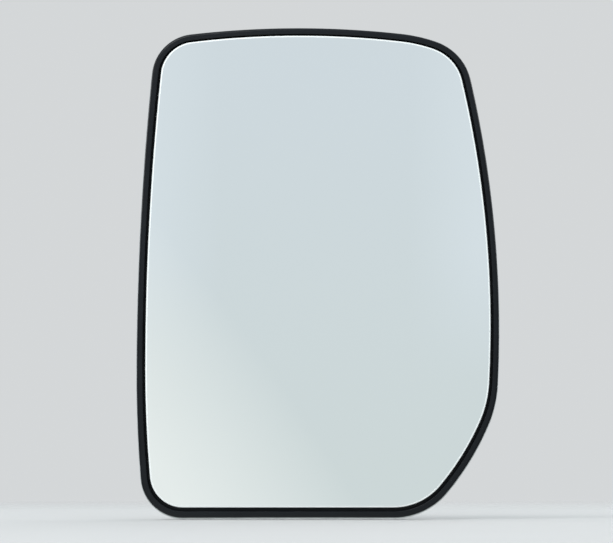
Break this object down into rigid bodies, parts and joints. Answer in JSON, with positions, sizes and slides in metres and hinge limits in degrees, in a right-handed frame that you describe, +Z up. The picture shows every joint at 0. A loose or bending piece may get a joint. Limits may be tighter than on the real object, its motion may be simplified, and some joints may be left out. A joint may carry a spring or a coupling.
{
  "type": "van door mirror glass insert",
  "caption": "Convex heated door mirror glass on a black backing plate that snaps onto the mirror's adjuster, with a rim round the glass and blade terminals at the back.",
  "frame": {"origin": "centre of the adjuster socket, on the seat the adjuster rests against", "axes": "+Y out of the socket, towards the mirror housing; the glass faces -Y; +Z up as the mirror stands on the vehicle"},
  "size_m": [0.1773, 0.0192, 0.2408],
  "materials": {
    "glass_clear": "polished convex float glass with ground edge",
    "mirror_metal": "vacuum-deposited reflecting metal",
    "backing_lacquer": "flat protective lacquer",
    "clear_adhesive": "clear acrylic adhesive film",
    "heater_film": "satin polyester film",
    "heater_foil": "etched foil",
    "heater_laminate": "satin black laminate",
    "foam": "fine closed-cell foam",
    "black_plastic": "black moulded plastic with fine satin texture",
    "finger_plastic": "black moulded plastic, smooth",
    "tinned_brass": "tin-plated, satin",
    "rivet_metal": "plain brass, satin"
  },
  "bodies": {
    "plate_and_glass": {"mirror_glass": "glass_clear", "mirror_coating": "mirror_metal", "protective_paint": "backing_lacquer", "heater_adhesive": "clear_adhesive", "heater_film": "heater_film", "heater_track": "heater_foil", "heater_cover": "heater_laminate", "pad_adhesive_front": "clear_adhesive", "foam_pad": "foam", "pad_adhesive_back": "clear_adhesive", "rivet_washers_upper": "rivet_metal", "rivet_washers_lower": "rivet_metal", "backing_plate": "black_plastic", "terminal_upper": "tinned_brass", "terminal_lower": "tinned_brass", "rivets_upper": "rivet_metal", "rivets_lower": "rivet_metal"},
    "finger_right": {"clip_finger_right": "finger_plastic"},
    "finger_top": {"clip_finger_top": "finger_plastic"},
    "finger_left": {"clip_finger_left": "finger_plastic"},
    "finger_bottom": {"clip_finger_bottom": "finger_plastic"}
  },
  "joints": [
    {"name": "finger_right_flex", "type": "hinge", "parent": "plate_and_glass", "child": "finger_right", "pos_m": [0.0394, -0.0013, 0], "axis": [0, 0, -1], "range_deg": [0, 8], "stiffness_Nm_per_rad": 3},
    {"name": "finger_top_flex", "type": "hinge", "parent": "plate_and_glass", "child": "finger_top", "pos_m": [0, -0.0013, 0.0394], "axis": [1, 0, 0], "range_deg": [0, 8], "stiffness_Nm_per_rad": 3},
    {"name": "finger_left_flex", "type": "hinge", "parent": "plate_and_glass", "child": "finger_left", "pos_m": [-0.0394, -0.0013, 0], "axis": [0, 0, 1], "range_deg": [0, 8], "stiffness_Nm_per_rad": 3},
    {"name": "finger_bottom_flex", "type": "hinge", "parent": "plate_and_glass", "child": "finger_bottom", "pos_m": [0, -0.0013, -0.0394], "axis": [-1, 0, 0], "range_deg": [0, 8], "stiffness_Nm_per_rad": 3}
  ]
}
